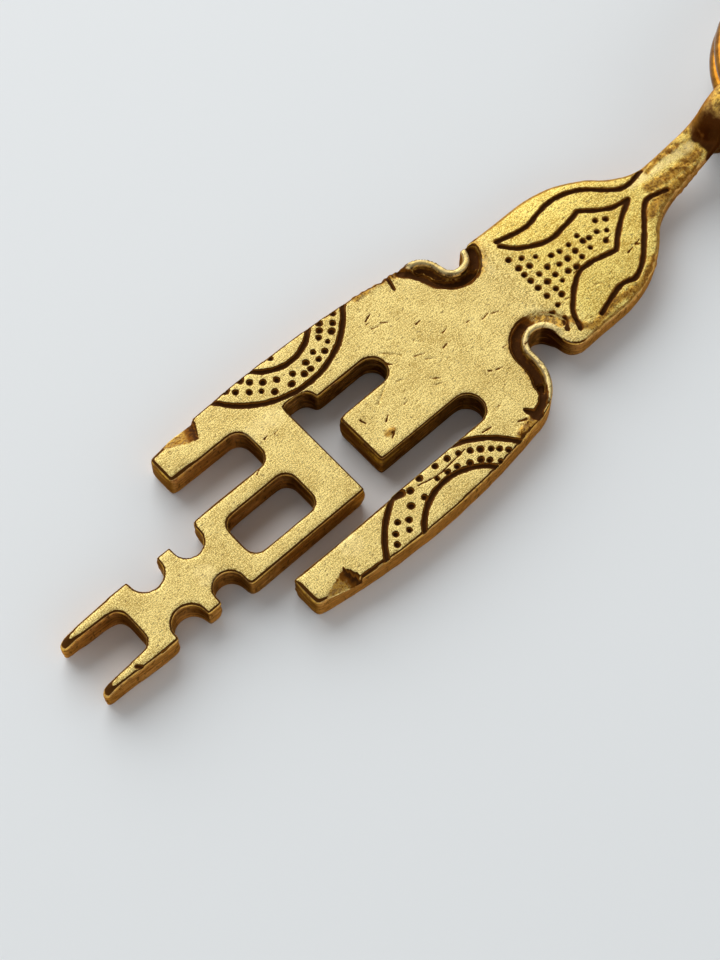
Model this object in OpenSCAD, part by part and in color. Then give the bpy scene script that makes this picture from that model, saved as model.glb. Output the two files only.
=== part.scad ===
// Keychain fob: a flat-backed brass casting in the form of a key, with a split ring through its eye.
// X runs across the fob, Y along it from the fork to the eye, Z up from the flat back.

/* [Body] */
// Thickness of the flat casting
plate_t = 3; // [2.4:0.1:4]
// Distance from the centre line to the widest point of the left flank
left_reach = 10.4; // [9.5:0.1:12]
// Distance from the centre line to the widest point of the right flank
right_reach = 9.9; // [9.2:0.1:12]
// Radius of the left flank's long bow
left_flank_r = 110; // [70:5:150]
// Radius of the right flank's long bow
right_flank_r = 65; // [55:1:90]
// Distance of the left flank's widest point below the origin
left_flank_drop = 13; // [9:0.5:15]
// Distance of the right flank's widest point below the origin
right_flank_drop = 9; // [6:0.5:12]
// Height of the shoulders above the origin
shoulder_y = 6.3; // [5:0.1:8]
// Radius of the left shoulder's corner
left_shoulder_r = 2.3; // [2.2:0.1:2.8]
// Radius of the right shoulder's corner
right_shoulder_r = 4.3; // [2.4:0.1:4.6]

/* [Arms and slots] */
// Length of the left arm below the origin
left_arm_l = 23.3; // [21:0.1:24]
// Length of the right arm below the origin
right_arm_l = 21.7; // [19:0.1:23]
// Width of the tongue between the two slots
tongue_w = 5.2; // [4.4:0.1:5.6]
// Distance of the tongue's end below the origin
tongue_drop = 9.6; // [7:0.1:10.5]
// Width of the slot left of the tongue
left_slot_w = 2.5; // [1.8:0.1:3]
// Distance of the left slot's round end below the origin
left_slot_drop = 3.4; // [2:0.1:5]
// Width of the slot right of the tongue
right_slot_w = 2.8; // [2:0.1:3.2]
// Distance of the right slot's round end above the origin
right_slot_rise = 0.1; // [-2:0.1:1]
// How far the pocket at the foot of the left slot reaches past the slot
pocket_w = 1.3; // [0.8:0.1:1.6]
// Width of the slot between the left arm and the key bit
arm_slot_w = 3.7; // [3:0.1:4]
// Length of the bridge that carries the key bit on the left arm
bridge_l = 3.9; // [3:0.1:5]
// Corner radius inside the arm slot and the pocket
slot_corner_r = 1.1; // [0.5:0.1:1.2]
// Corner radius of the arms' ends
arm_corner_r = 0.5; // [0.2:0.1:1]

/* [Key bit] */
// Distance of the key bit's own centre line right of the fob's
key_x = 0.3; // [0:0.1:0.5]
// Width of the gap between the tongue's end and the key bit
cross_gap = 2.6; // [2:0.1:3]
// Width of the key bit's plate
bit_w = 7.2; // [6.6:0.1:7.6]
// Length of the key bit's plate
bit_l = 12.1; // [10:0.1:14]
// Width of the window in the plate
window_w = 4; // [3:0.1:4.6]
// Length of the window
window_l = 6.9; // [5:0.1:8]
// Distance of the window below the plate's top edge
window_drop = 3.5; // [2:0.1:4]
// Corner radius of the window
window_r = 1.1; // [0.5:0.1:1.4]
// Width of the gap between the plate and the right arm
right_gap = 1.9; // [1.4:0.1:2.4]
// Full width of the shank below the plate
shank_w = 6.4; // [5.6:0.1:7]
// Width left between the shank's notches
web_w = 2.6; // [2.4:0.1:3.4]
// Ledge between the plate and the upper pair of notches
ledge = 0.1; // [0.05:0.05:0.5]
// Radius of the upper pair of notches
upper_notch_r = 1.3; // [1:0.05:1.5]
// Radius of the lower pair of notches
lower_notch_r = 1.5; // [1.2:0.05:1.6]
// Length of the lugs between the notches
lug_l = 1.4; // [1:0.1:2]

/* [Fork] */
// Length of the solid foot above the prongs
fork_foot = 1.8; // [1.2:0.1:2.5]
// Length of the prongs
prong_l = 5.5; // [4:0.1:7]
// Width of a prong at its root
prong_root_w = 1.2; // [0.9:0.05:1.4]
// Width of a prong at its rounded tip
prong_tip_w = 0.7; // [0.5:0.05:0.9]
// How far a prong's outer edge leans in at the tip
prong_lean = 0.25; // [0:0.05:0.4]
// Corner radius at the closed end of the fork
fork_r = 1; // [0.5:0.1:1.4]

/* [Waist and head] */
// Distance from the centre line to the bottom of the left waist notch
left_waist = 5.8; // [4.5:0.1:5.8]
// Radius of the left waist notch
left_notch_r = 1; // [0.7:0.05:1]
// Distance from the centre line to the bottom of the right waist notch
right_waist = 2.8; // [2.6:0.1:4.5]
// Radius of the right waist notch
right_notch_r = 1.3; // [1:0.05:1.7]
// Width of the raised lip that follows the shoulders into the waist notches
lip_w = 0.6; // [0.4:0.05:0.8]
// How far down the shoulders the lip runs
lip_drop = 2.1; // [1.5:0.1:2.2]
// Rise of the lip above the plate's face
lip_rise = 0.3; // [0.1:0.05:0.5]
// Width of the groove that sets off the lip
groove_w = 0.9; // [0.5:0.05:1.1]
// Depth of that groove
groove_depth = 0.5; // [0.3:0.05:0.7]
// Distance from the centre line to the head's left side
head_left = 7.05; // [6.6:0.05:7.6]
// Distance from the centre line to the head's right side
head_right = 6.35; // [6:0.05:7.2]
// Height above the origin at which the head starts to close in
head_y = 14.8; // [13:0.1:16]
// Radius of the head's ogee sides
head_r = 10.4; // [9.6:0.1:12]
// Corner radius at the foot of the head
head_corner_r = 1.5; // [1:0.1:2]
// Rise of the crowned head above the flat of the plate
head_crown = 0.45; // [0.2:0.05:0.8]
// Height above the origin at which the head's crown is highest
bow_y = 16.4; // [15:0.1:17.5]
// How far the head's back curves up towards its sides
head_back = 1.2; // [0.5:0.1:1.6]

/* [Stem and eye] */
// Distance of the stem and the eye left of the centre line
stem_left = 0.6; // [0:0.05:0.7]
// Width of the stem where it leaves the head
stem_root_w = 3.8; // [3.4:0.1:4.2]
// Width of the stem at the eye, and the eye's thickness
stem_w = 3.2; // [2.8:0.1:3.4]
// Height above the origin at which the head's sides turn into the stem
stem_y = 22; // [21:0.1:23]
// Height above the origin at which the stem's top starts to climb
climb_y = 25; // [24:0.1:26]
// Radius of the sweep from the stem's top up to the eye
top_sweep_r = 11; // [10:0.5:13]
// Height above the origin at which the underside leaves the back plane
lift_y = 19.5; // [18:0.1:21]
// Radius of the sweep that lifts the underside
under_sweep_r = 22; // [20:0.5:28]
// Radius of the flare from the head's sides into the stem
flare_r = 7; // [5:0.5:10]
// Length of the flare from the head's left side into the stem
left_flare_l = 5.4; // [4:0.1:6]
// Length of the flare from the head's right side into the stem
right_flare_l = 4.4; // [4:0.1:6]
// Height above the origin of the eye's centre
eye_y = 35; // [34:0.1:36]
// Outer diameter of the eye
eye_d = 9; // [8.6:0.1:10]
// Diameter of the eye's bore
bore_d = 4.6; // [4.4:0.1:5]
// Bevel at both ends of the bore
bore_bevel = 0.25; // [0.15:0.05:0.3]

/* [Split ring] */
// Outer diameter of the split ring
ring_od = 22.5; // [20:0.5:28]
// Diameter of the ring's round wire
wire_d = 1.6; // [1.4:0.05:1.7]
// Gap between the ring's two turns
turn_gap = 0.15; // [0.1:0.05:0.2]
// Angle that the step from one turn to the other takes
step_angle = 40; // [30:1:60]
// Bearing of that step round the ring, from the point farthest from the eye
step_bearing = -50; // [-90:5:90]
// Sideways swing of the ring in the eye as it lies
ring_swing = 16; // [0:1:20]
// Gap between the wire and the bore where the ring hangs in the eye
seat_gap = 0.25; // [0.15:0.05:0.3]
// Gap between the lying ring and the surface under it
table_gap = 0.05; // [0.02:0.01:0.2]

/* [Hidden] */
$fn = 96;
through = 1;
lap = 0.1;

// Places along the fob, from the tongue down
bit_top = -tongue_drop - cross_gap;
bit_bottom = bit_top - bit_l;
upper_notch_y = bit_bottom - ledge - upper_notch_r;
lug_top = upper_notch_y - upper_notch_r;
lower_notch_y = lug_top - lug_l - lower_notch_r;
fork_top = lower_notch_y - lower_notch_r;
fork_root = fork_top - fork_foot;
prong_end = fork_root - prong_l;
arm_slot_top = bit_top - bridge_l;

// Places across the fob
bit_left = key_x - bit_w / 2;
bit_right = key_x + bit_w / 2;
tongue_left = key_x - tongue_w / 2;
tongue_right = key_x + tongue_w / 2;
function flank_x(reach, r, above) = reach - r + sqrt(pow(r, 2) - pow(above, 2));
left_shoulder_cy = shoulder_y - left_shoulder_r;
right_shoulder_cy = shoulder_y - right_shoulder_r;
left_shoulder_x = flank_x(left_reach, left_flank_r, left_shoulder_cy + left_flank_drop);
right_shoulder_x = flank_x(right_reach, right_flank_r, right_shoulder_cy + right_flank_drop);
left_shoulder_cx = left_shoulder_r - left_shoulder_x;
right_shoulder_cx = right_shoulder_x - right_shoulder_r;

// Places on the head, the stem and the eye
left_notch_cy = shoulder_y + left_notch_r;
right_notch_cy = shoulder_y + right_notch_r;
left_foot_y = left_notch_cy + left_notch_r;
right_foot_y = right_notch_cy + right_notch_r;
stem_half = stem_w / 2;
root_half = stem_root_w / 2;
eye_r = eye_d / 2;
eye_tube_r = eye_r - stem_half;
bore_r = bore_d / 2;
eye_z = eye_r;
bow_l = bow_y - left_foot_y;
function crown_r(half, rise) = (pow(half, 2) + pow(rise, 2)) / (2 * rise);
back_r = crown_r(head_left, head_back);
left_flare_end = stem_y + left_flare_l;
right_flare_end = stem_y + right_flare_l;
function head_x(reach, y) = reach - head_r + sqrt(pow(head_r, 2) - pow(y - head_y, 2));

// The split ring and how it lies in the eye
wire_r = wire_d / 2;
ring_r = ring_od / 2 - wire_r;
turn_pitch = wire_d + turn_gap;
stack_half = turn_pitch / 2 + wire_r;
bore_edge = stem_half * tan(ring_swing);
ring_shift = sqrt(pow(bore_r - seat_gap - wire_r, 2) - pow(turn_pitch / 2, 2)) - bore_edge;
ring_reach = ring_r * (1 + cos(ring_swing)) + ring_shift;
ring_tilt = asin((eye_z - stack_half - table_gap) / ring_reach);
step_rise = atan(turn_pitch / (ring_r * step_angle * PI / 180));

// Points along an arc from one angle to another
function arc(centre, r, from, to, steps = 12) =
    [for (i = [0:steps]) let (a = from + (to - from) * i / steps) centre + r * [cos(a), sin(a)]];

// Bearing of a vector, from 0 to 360 degrees
function bearing(v) = (atan2(v.y, v.x) + 360) % 360;

// A rectangle between two corners
module span(low, high) {
    translate(low) square(high - low);
}

// A rectangle between two corners with round ones of radius r
module round_span(low, high, r) {
    span([low.x + r, low.y], [high.x - r, high.y]);
    span([low.x, low.y + r], [high.x, high.y - r]);
    for (x = [low.x + r, high.x - r])
        for (y = [low.y + r, high.y - r])
            translate([x, y]) circle(r);
}

// The disc that bounds one flank, with its widest point at the given reach
module flank(reach, r, drop, side) {
    translate([side * (reach - r), -drop]) circle(r, $fn = 360);
}

// Torso and both arms, before the slots are cut
module torso_plan() {
    intersection() {
        flank(left_reach, left_flank_r, left_flank_drop, -1);
        flank(right_reach, right_flank_r, right_flank_drop, 1);
        union() {
            round_span([-left_reach - through, -left_arm_l], [key_x, left_shoulder_cy], arm_corner_r);
            round_span([0, -right_arm_l], [right_reach + through, right_shoulder_cy], arm_corner_r);
        }
    }
    span([left_shoulder_cx, right_shoulder_cy - through], [right_shoulder_cx, shoulder_y]);
    translate([left_shoulder_cx, left_shoulder_cy]) circle(left_shoulder_r);
    translate([right_shoulder_cx, right_shoulder_cy]) circle(right_shoulder_r);
}

// A slot with a round upper end, open at its foot
module slot(left, right, top, foot) {
    r = (right - left) / 2;
    span([left, foot], [right, top - r]);
    translate([left + r, top - r]) circle(r);
}

// The slots and gaps that part the tongue, the arms and the key bit
module slots_plan() {
    slot(tongue_left - left_slot_w, tongue_left, -left_slot_drop, -tongue_drop - through);
    slot(tongue_right, tongue_right + right_slot_w, right_slot_rise, bit_top);
    round_span(
        [tongue_left - left_slot_w - pocket_w, bit_top],
        [tongue_right + right_slot_w, -tongue_drop],
        slot_corner_r
    );
    span([tongue_left - left_slot_w - pocket_w, bit_top], [tongue_right, bit_top + slot_corner_r]);
    span([bit_right, bit_bottom], [bit_right + right_gap, bit_top + slot_corner_r]);
    round_span([bit_left - arm_slot_w, bit_bottom], [bit_left, arm_slot_top], slot_corner_r);
    span([bit_left - arm_slot_w, bit_bottom - through], [bit_left, bit_bottom + slot_corner_r]);
}

// One notch in the shank's side, open outwards
module shank_notch(y, r, side) {
    cx = key_x + side * (web_w / 2 + r);
    translate([cx, y]) circle(r);
    span([min(cx, cx + side * shank_w), y - r], [max(cx, cx + side * shank_w), y + r]);
}

// Half of the shank and fork outline, right of the key bit's centre line, from the plate to the fork's gap
function half_fork() =
    let (
        root_x = shank_w / 2,
        tip_r = prong_tip_w / 2,
        tip = [root_x - prong_lean - tip_r, prong_end + tip_r],
        gap_x = root_x - prong_root_w
    )
    concat(
        [[root_x, bit_bottom + fork_foot], [root_x, fork_root]],
        arc(tip, tip_r, 0, -180),
        arc([gap_x - fork_r, fork_root - fork_r], fork_r, 0, 90)
    );

// Outline of the shank and the fork, before the notches are cut
module shank_plan() {
    half = half_fork();
    other = [for (i = [len(half) - 1:-1:0]) [-half[i].x, half[i].y]];
    translate([key_x, 0]) polygon(concat(half, other));
}

// The key bit's plate and its notched shank
module key_plan() {
    span([bit_left, bit_bottom], [bit_right, bit_top]);
    difference() {
        shank_plan();
        for (side = [-1, 1]) {
            shank_notch(upper_notch_y, upper_notch_r, side);
            shank_notch(lower_notch_y, lower_notch_r, side);
        }
    }
}

// The window in the key bit's plate
module window_plan() {
    top = bit_top - window_drop;
    half = window_w / 2;
    round_span([key_x - half, top - window_l], [key_x + half, top], window_r);
}

// The narrow waist between the shoulders and the head
module waist_plan() {
    left_cx = -left_waist - left_notch_r;
    right_cx = right_waist + right_notch_r;
    difference() {
        span([left_cx, left_shoulder_cy], [right_cx, right_foot_y + head_corner_r]);
        translate([left_cx, left_notch_cy]) circle(left_notch_r);
        translate([right_cx, right_notch_cy]) circle(right_notch_r);
    }
}

// Torso, arms and waist, with the slots cut
module body_plan() {
    difference() {
        union() {
            torso_plan();
            waist_plan();
        }
        slots_plan();
    }
}

// Half of the head's outline on the side with the given reach, from its foot up to the neck
function half_head(reach, foot_y, neck, flare_end) =
    let (
        ogee = [reach - head_r, head_y],
        start = [head_x(reach, stem_y), stem_y],
        end = [neck, flare_end],
        half = (end - start) / 2,
        out = [half.y, -half.x] / norm(half),
        flare = start + half + out * sqrt(pow(flare_r, 2) - pow(norm(half), 2))
    )
    concat(
        arc([reach - head_corner_r, foot_y + head_corner_r], head_corner_r, -90, 0),
        arc(ogee, head_r, 0, bearing(start - ogee)),
        arc(flare, flare_r, bearing(start - flare), bearing(end - flare))
    );

// Onion-shaped head with the start of the stem
module head_plan() {
    right = half_head(head_right, right_foot_y, root_half - stem_left, right_flare_end);
    left = half_head(head_left, left_foot_y, root_half + stem_left, left_flare_end);
    polygon(concat(right, [for (i = [len(left) - 1:-1:0]) [-left[i].x, left[i].y]]));
}

// A long bar whose round top touches the crown of the head, along X or along Y
module crown_bar(r, length, turn) {
    translate([0, bow_y, plate_t + head_crown - r])
        rotate(turn)
            rotate([90, 0, 0])
                cylinder(h = length, r = r, center = true, $fn = 360);
}

// Head with its face crowned both ways and its back curved up towards the sides
module head() {
    intersection() {
        linear_extrude(plate_t + head_crown + through) head_plan();
        crown_bar(crown_r(head_left, head_crown), 4 * head_r, 0);
        crown_bar(crown_r(bow_l, head_crown), 4 * head_r, 90);
        translate([0, head_y, back_r])
            rotate([90, 0, 0])
                cylinder(h = 4 * head_r, r = back_r, center = true, $fn = 360);
    }
}

// A profile seen from the side, along Y and up Z, drawn out to both sides of an X
module side_extrude(x, half) {
    translate([x, 0, 0])
        rotate([90, 0, 90])
            translate([0, 0, -half])
                linear_extrude(2 * half)
                    children();
}

// Stem that climbs from the head to the eye and tapers on the way
module stem() {
    start_y = head_y + head_r / 2;
    end_y = eye_y - eye_tube_r;
    intersection() {
        side_extrude(-stem_left, root_half)
            difference() {
                span([start_y, 0], [end_y, eye_d]);
                translate([climb_y, plate_t + top_sweep_r]) circle(top_sweep_r);
                span([start_y - through, plate_t], [climb_y, eye_d + through]);
            }
        linear_extrude(eye_d)
            translate([-stem_left, 0])
                polygon([
                    [-root_half, start_y],
                    [root_half, start_y],
                    [root_half, right_flare_end],
                    [stem_half, end_y],
                    [-stem_half, end_y],
                    [-root_half, left_flare_end]
                ]);
    }
}

// The space under the head's top and the stem, below the sweep that lifts them
module under_sweep() {
    lift_angle = asin((eye_y - lift_y) / under_sweep_r);
    side_extrude(0, head_left + through)
        polygon(concat(
            [[lift_y, -through]],
            arc([lift_y, under_sweep_r], under_sweep_r, -90, lift_angle - 90, 16),
            [[eye_y, -through]]
        ));
}

// Round eye standing across the stem's end
module eye() {
    translate([-stem_left, eye_y, eye_z])
        rotate([0, 90, 0])
            rotate_extrude()
                translate([eye_tube_r, 0]) circle(stem_half);
}

// Bore of the eye, bevelled at both ends
module eye_bore() {
    translate([-stem_left, eye_y, eye_z])
        rotate([0, 90, 0]) {
            cylinder(h = stem_w + 2 * through, r = bore_r, center = true);
            for (side = [0, 1])
                mirror([0, 0, side])
                    translate([0, 0, stem_half - 2 * bore_bevel])
                        cylinder(h = 3 * bore_bevel, r1 = bore_r, r2 = bore_r + 3 * bore_bevel);
        }
}

// The band between two insets from the edge, along one shoulder and round its waist notch
module edge_band(shoulder_cx, shoulder_r, notch_cx, notch_r, notch_cy, near, far) {
    intersection() {
        difference() {
            translate([shoulder_cx, shoulder_y - shoulder_r]) circle(shoulder_r - near);
            translate([shoulder_cx, shoulder_y - shoulder_r]) circle(shoulder_r - far);
        }
        span([shoulder_cx - lap, shoulder_y - lip_drop], [shoulder_cx + shoulder_r, shoulder_y]);
    }
    span([notch_cx - lap, shoulder_y - far], [shoulder_cx, shoulder_y - near]);
    intersection() {
        difference() {
            translate([notch_cx, notch_cy]) circle(notch_r + far);
            translate([notch_cx, notch_cy]) circle(notch_r + near);
        }
        span([notch_cx - notch_r - far, notch_cy - notch_r - far], [notch_cx, notch_cy + notch_r + far]);
    }
}

// The band on both sides of the waist
module edge_bands(near, far) {
    right_cx = right_waist + right_notch_r;
    left_cx = left_waist + left_notch_r;
    edge_band(right_shoulder_cx, right_shoulder_r, right_cx, right_notch_r, right_notch_cy, near, far);
    mirror([1, 0, 0])
        edge_band(-left_shoulder_cx, left_shoulder_r, left_cx, left_notch_r, left_notch_cy, near, far);
}

module fob_casting() {
    color("goldenrod")
        difference() {
            union() {
                linear_extrude(plate_t) body_plan();
                linear_extrude(plate_t) key_plan();
                difference() {
                    union() {
                        head();
                        stem();
                    }
                    under_sweep();
                }
                eye();
                linear_extrude(plate_t + lip_rise) edge_bands(0, lip_w);
            }
            translate([0, 0, plate_t - groove_depth])
                linear_extrude(groove_depth + head_crown + lip_rise)
                    edge_bands(lip_w, lip_w + groove_w);
            translate([0, 0, -through]) linear_extrude(plate_t + 2 * through) window_plan();
            eye_bore();
        }
}

// One flat turn of the split ring, short of a full circle by the step
module turn(z) {
    translate([0, 0, z])
        rotate(step_angle / 2)
            rotate_extrude(angle = 360 - step_angle)
                translate([ring_r, 0]) circle(wire_r);
}

// The slanting step that joins the lower turn to the upper one
module turn_step() {
    overlap_angle = 3;
    rotate([step_rise, 0, 0])
        rotate(-step_angle / 2 - overlap_angle)
            rotate_extrude(angle = step_angle + 2 * overlap_angle)
                translate([ring_r, 0]) circle(wire_r);
}

module split_ring() {
    color("gold")
        translate([-stem_left, eye_y, eye_z])
            rotate([-ring_tilt, 0, 0])
                rotate(90 - ring_swing)
                    translate([ring_r + ring_shift, 0, 0])
                        rotate(step_bearing) {
                            turn(-turn_pitch / 2);
                            turn(turn_pitch / 2);
                            turn_step();
                        }
}

fob_casting();
split_ring();
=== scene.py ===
# %% [markdown]
# # A cast brass key fob
# The fob is one flat casting in the form of a key, with a split ring through the upright eye at its end.
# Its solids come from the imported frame, in metres, so every piece below is made where the frame has it.
# The marks on the brass are tenths of a millimetre, so the casting is worked in millimetres and goes
# back to metres when it is done. In plan, x runs across the key and y along it, from fork to eye.
# The floor, the lamp and the camera are in metres throughout.

# %% Load the frame
import math

import bmesh
import bpy
import numpy as np
from mathutils import Matrix, Vector, noise
from mathutils.bvhtree import BVHTree


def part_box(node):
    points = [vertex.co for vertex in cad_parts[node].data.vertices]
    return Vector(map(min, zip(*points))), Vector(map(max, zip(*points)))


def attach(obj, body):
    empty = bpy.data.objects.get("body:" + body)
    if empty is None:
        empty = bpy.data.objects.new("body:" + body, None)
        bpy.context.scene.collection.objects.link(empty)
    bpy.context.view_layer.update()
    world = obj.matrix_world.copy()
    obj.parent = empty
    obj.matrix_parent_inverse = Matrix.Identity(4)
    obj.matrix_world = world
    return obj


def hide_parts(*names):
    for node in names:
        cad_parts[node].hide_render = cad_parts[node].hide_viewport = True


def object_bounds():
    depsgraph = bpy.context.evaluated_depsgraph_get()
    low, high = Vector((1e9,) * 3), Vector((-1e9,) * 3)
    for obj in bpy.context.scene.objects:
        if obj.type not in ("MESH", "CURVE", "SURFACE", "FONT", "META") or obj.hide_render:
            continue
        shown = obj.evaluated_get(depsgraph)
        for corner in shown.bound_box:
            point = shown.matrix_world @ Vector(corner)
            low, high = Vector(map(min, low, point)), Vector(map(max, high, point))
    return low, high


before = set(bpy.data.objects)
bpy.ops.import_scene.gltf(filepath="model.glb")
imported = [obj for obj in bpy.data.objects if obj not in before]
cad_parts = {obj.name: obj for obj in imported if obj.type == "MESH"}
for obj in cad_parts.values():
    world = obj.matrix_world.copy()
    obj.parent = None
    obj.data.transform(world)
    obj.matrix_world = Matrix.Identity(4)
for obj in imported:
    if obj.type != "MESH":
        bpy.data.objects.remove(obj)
cad_low, cad_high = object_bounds()
MM = 1000
print("frame box in mm:", [round(side * MM, 1) for side in cad_high - cad_low])

# %% [markdown]
# ## Wax for the casting
# A casting like this starts as a wax or clay master, so its edges are never as sharp as the CAD solid's.
# Bevels would round every edge by the same amount and would stumble where the slots meet.
# A voxel remesh gives an even skin of small quads instead, and a few rounds of averaging each point
# with its neighbours then round the edges as tumbling and years in a pocket do.

# %% Remesh the fob's solid into an even skin
VOXEL = 0.17
WELD = 0.0005


def apply_modifiers(piece):
    """Replaces a piece's mesh by what its modifiers make of it."""
    graph = bpy.context.evaluated_depsgraph_get()
    made = bpy.data.meshes.new_from_object(piece.evaluated_get(graph))
    piece.modifiers.clear()
    piece.data = made


def wax_copy(node, name):
    """A welded copy of a frame node's mesh, in millimetres."""
    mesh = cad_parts[node].data.copy()
    mesh.transform(Matrix.Scale(MM, 4))
    shell = bmesh.new()
    shell.from_mesh(mesh)
    bmesh.ops.remove_doubles(shell, verts=shell.verts, dist=WELD)
    shell.to_mesh(mesh)
    shell.free()
    mesh.materials.clear()
    piece = bpy.data.objects.new(name, mesh)
    bpy.context.scene.collection.objects.link(piece)
    return piece


fob = wax_copy("fob_casting", "fob")
skin = fob.modifiers.new("skin", "REMESH")
skin.mode = "VOXEL"
skin.voxel_size = VOXEL
apply_modifiers(fob)
print("skin of the fob:", len(fob.data.polygons), "quads")

# %% Round the edges by averaging
SOFTEN_ROUNDS = 4
SOFTEN_SHARE = 0.5


def points_of(mesh):
    """The mesh's vertices as rows of x, y, z."""
    flat = np.empty(len(mesh.vertices) * 3, np.float32)
    mesh.vertices.foreach_get("co", flat)
    return flat.reshape(-1, 3).astype(float)


def move_points(mesh, points):
    """Puts the mesh's vertices at these rows of x, y, z."""
    mesh.vertices.foreach_set("co", points.astype(np.float32).ravel())
    mesh.update()


def softened(mesh, rounds, share):
    """The points after each has moved its share of the way to its neighbours' mean, several times."""
    points = points_of(mesh)
    count = len(points)
    ends = np.empty(len(mesh.edges) * 2, np.int32)
    mesh.edges.foreach_get("vertices", ends)
    a, b = ends.reshape(-1, 2).T
    neighbours = np.bincount(ends, minlength=count)[:, None]
    for _ in range(rounds):
        sums = [np.bincount(a, points[b, k], count) + np.bincount(b, points[a, k], count) for k in range(3)]
        points += share * (np.stack(sums, axis=1) / neighbours - points)
    return points


move_points(fob.data, softened(fob.data, SOFTEN_ROUNDS, SOFTEN_SHARE))
print("rounded all edges in", SOFTEN_ROUNDS, "rounds")

# %% [markdown]
# ## Places that wore more
# The head and the tips of the arms and the fork are rounder than the rest, as places are that rub in a
# pocket, and so are the end of the tongue and the lower edge of every wall. A sculpting brush could do
# it by hand. The same averaging does it in a few lines, with a share of its own for each point.
# The tips of the fork are also a little thinner than the plate.

# %% Wear the head, the tips and the lower edges
WORN_ROUNDS = 22
HEAD_FOOT_Y = 9.5
HEAD_BLEND = 3
ARM_TIP_Y = -20.6
ARM_INSIDE_X = 6
PRONG_TIP_Y = -36.6
PRONG_BEND_Y = -37.3
PRONG_THINNING = 0.3
TONGUE_TIP_Y = -8.9
BIT_TOP_Y = -11
TONGUE_HALF = 3.5
FOOT_Z = 1


def rise(value, width):
    """0 up to zero, 1 from the width on, and a straight slope between them."""
    return np.clip(value / width, 0, 1)


x, y, z = points_of(fob.data).T
worn = np.max([
    rise(y - HEAD_FOOT_Y, HEAD_BLEND),
    rise(ARM_TIP_Y - y, 0.8) * (np.abs(x) > ARM_INSIDE_X),
    rise(PRONG_TIP_Y - y, 0.8) * 0.3,
    rise(TONGUE_TIP_Y - y, 0.6) * 0.45 * (y > BIT_TOP_Y) * (np.abs(x) < TONGUE_HALF),
    rise(FOOT_Z - z, 0.3) * 0.7,
], axis=0)
move_points(fob.data, softened(fob.data, WORN_ROUNDS, SOFTEN_SHARE * worn[:, None]))
points = points_of(fob.data)
points[:, 2] *= 1 - PRONG_THINNING * rise(PRONG_BEND_Y - points[:, 1], 1.3) ** 2
move_points(fob.data, points)
print("wore", int((worn > 0).sum()), "points in", WORN_ROUNDS, "more rounds")

# %% [markdown]
# ## Where the quads are needed
# The face carries marks half a millimetre wide, while the back and the foot of the walls are plain.
# Collapsing the plain part first leaves room for finer quads under the marks, and a vertex group
# tells the Decimate modifier which part that is.

# %% Thin the skin out on the back
PLAIN_BELOW = 0.8
KEEP_SHARE = 0.74

low_points = np.flatnonzero(points_of(fob.data)[:, 2] < PLAIN_BELOW)
plain = fob.vertex_groups.new(name="plain")
plain.add(low_points.tolist(), 1, "REPLACE")
thin = fob.modifiers.new("thin", "DECIMATE")
thin.ratio = KEEP_SHARE
thin.vertex_group = plain.name
apply_modifiers(fob)
print("skin after thinning:", len(fob.data.polygons), "faces")

# %% [markdown]
# ## The engraver's strokes
# The head and both arms carry an old kind of border ornament: pairs of curved lines with rows of round
# punch dots between them. On the real piece they are cut or stamped, so they are cut into the mesh here,
# not painted on. A stroke is a line of closely spaced points in plan, with a half width and a depth.
# A smooth curve through a few points is enough for the lines, and arcs and rows give the rest.

# %% Lines on the head
STROKE_STEP = 0.06


def curve_through(*stops):
    """A smooth line through a few points, sampled closely: a cubic spline."""
    stops = np.array(stops, float)
    padded = np.vstack([2 * stops[0] - stops[1], stops, 2 * stops[-1] - stops[-2]])
    line = []
    for before, start, end, after in zip(padded, padded[1:], padded[2:], padded[3:]):
        steps = max(2, int(np.hypot(*(end - start)) / STROKE_STEP))
        t = np.linspace(0, 1, steps, endpoint=False)[:, None]
        bend = (2 * before - 5 * start + 4 * end - after) * t**2
        twist = (3 * start - before - 3 * end + after) * t**3
        line.append(start + 0.5 * ((end - before) * t + bend + twist))
    return np.vstack(line + [stops[-1:]])


head_lines = [
    curve_through((-5.4, 11.3), (-4.8, 14.1), (-5.2, 17.2), (-4.5, 19.7), (-2.1, 22.7), (-2.2, 25.4)),
    curve_through((-4.9, 11.2), (-3.6, 12.3), (-2.5, 14.5), (-2.6, 16.6), (-2.85, 18.4)),
    curve_through((-2.85, 18.4), (-1.95, 19.5), (-1.2, 20.8), (-0.9, 22.5)),
    curve_through((-0.9, 22.5), (0.1, 20.7), (1.1, 19.2), (2, 18.1)),
    curve_through((2, 18.1), (1.4, 15.3), (1.7, 13.7), (3.5, 11.5), (5.2, 10.7)),
    curve_through((0.6, 25.7), (0.25, 23.5), (2.4, 21.1), (4.3, 18.9), (4.9, 17.4), (4.6, 16), (5.4, 13)),
    curve_through((3.6, 10.4), (4.5, 9.9)),
]
print("lines on the head:", len(head_lines), "of", sum(map(len, head_lines)), "points")

# %% Arcs on the arms
LEFT_OUTER = (-14.56, -9.07)
LEFT_INNER = (-12.75, -8.85)
RIGHT_OUTER = (13.78, -7.5)
RIGHT_INNER = (12.77, -7.05)


def around(centre, radius, bearings):
    """Points round a centre, at these bearings in degrees."""
    bearing = np.radians(bearings)
    return np.array(centre) + radius * np.column_stack([np.cos(bearing), np.sin(bearing)])


def arc_at(centre, radius, start, end):
    """Closely spaced points along an arc, from one bearing in degrees to another."""
    count = int(radius * math.radians(abs(end - start)) / STROKE_STEP)
    return around(centre, radius, np.linspace(start, end, count))


arm_lines = [
    arc_at(LEFT_OUTER, 8.3, -59, 59),
    arc_at(LEFT_INNER, 4, -53, 53),
    arc_at(RIGHT_OUTER, 8.65, 117, 243),
    arc_at(RIGHT_INNER, 5.13, 124, 236),
]
print("arcs on the arms:", len(arm_lines), "of", sum(map(len, arm_lines)), "points")

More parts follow.
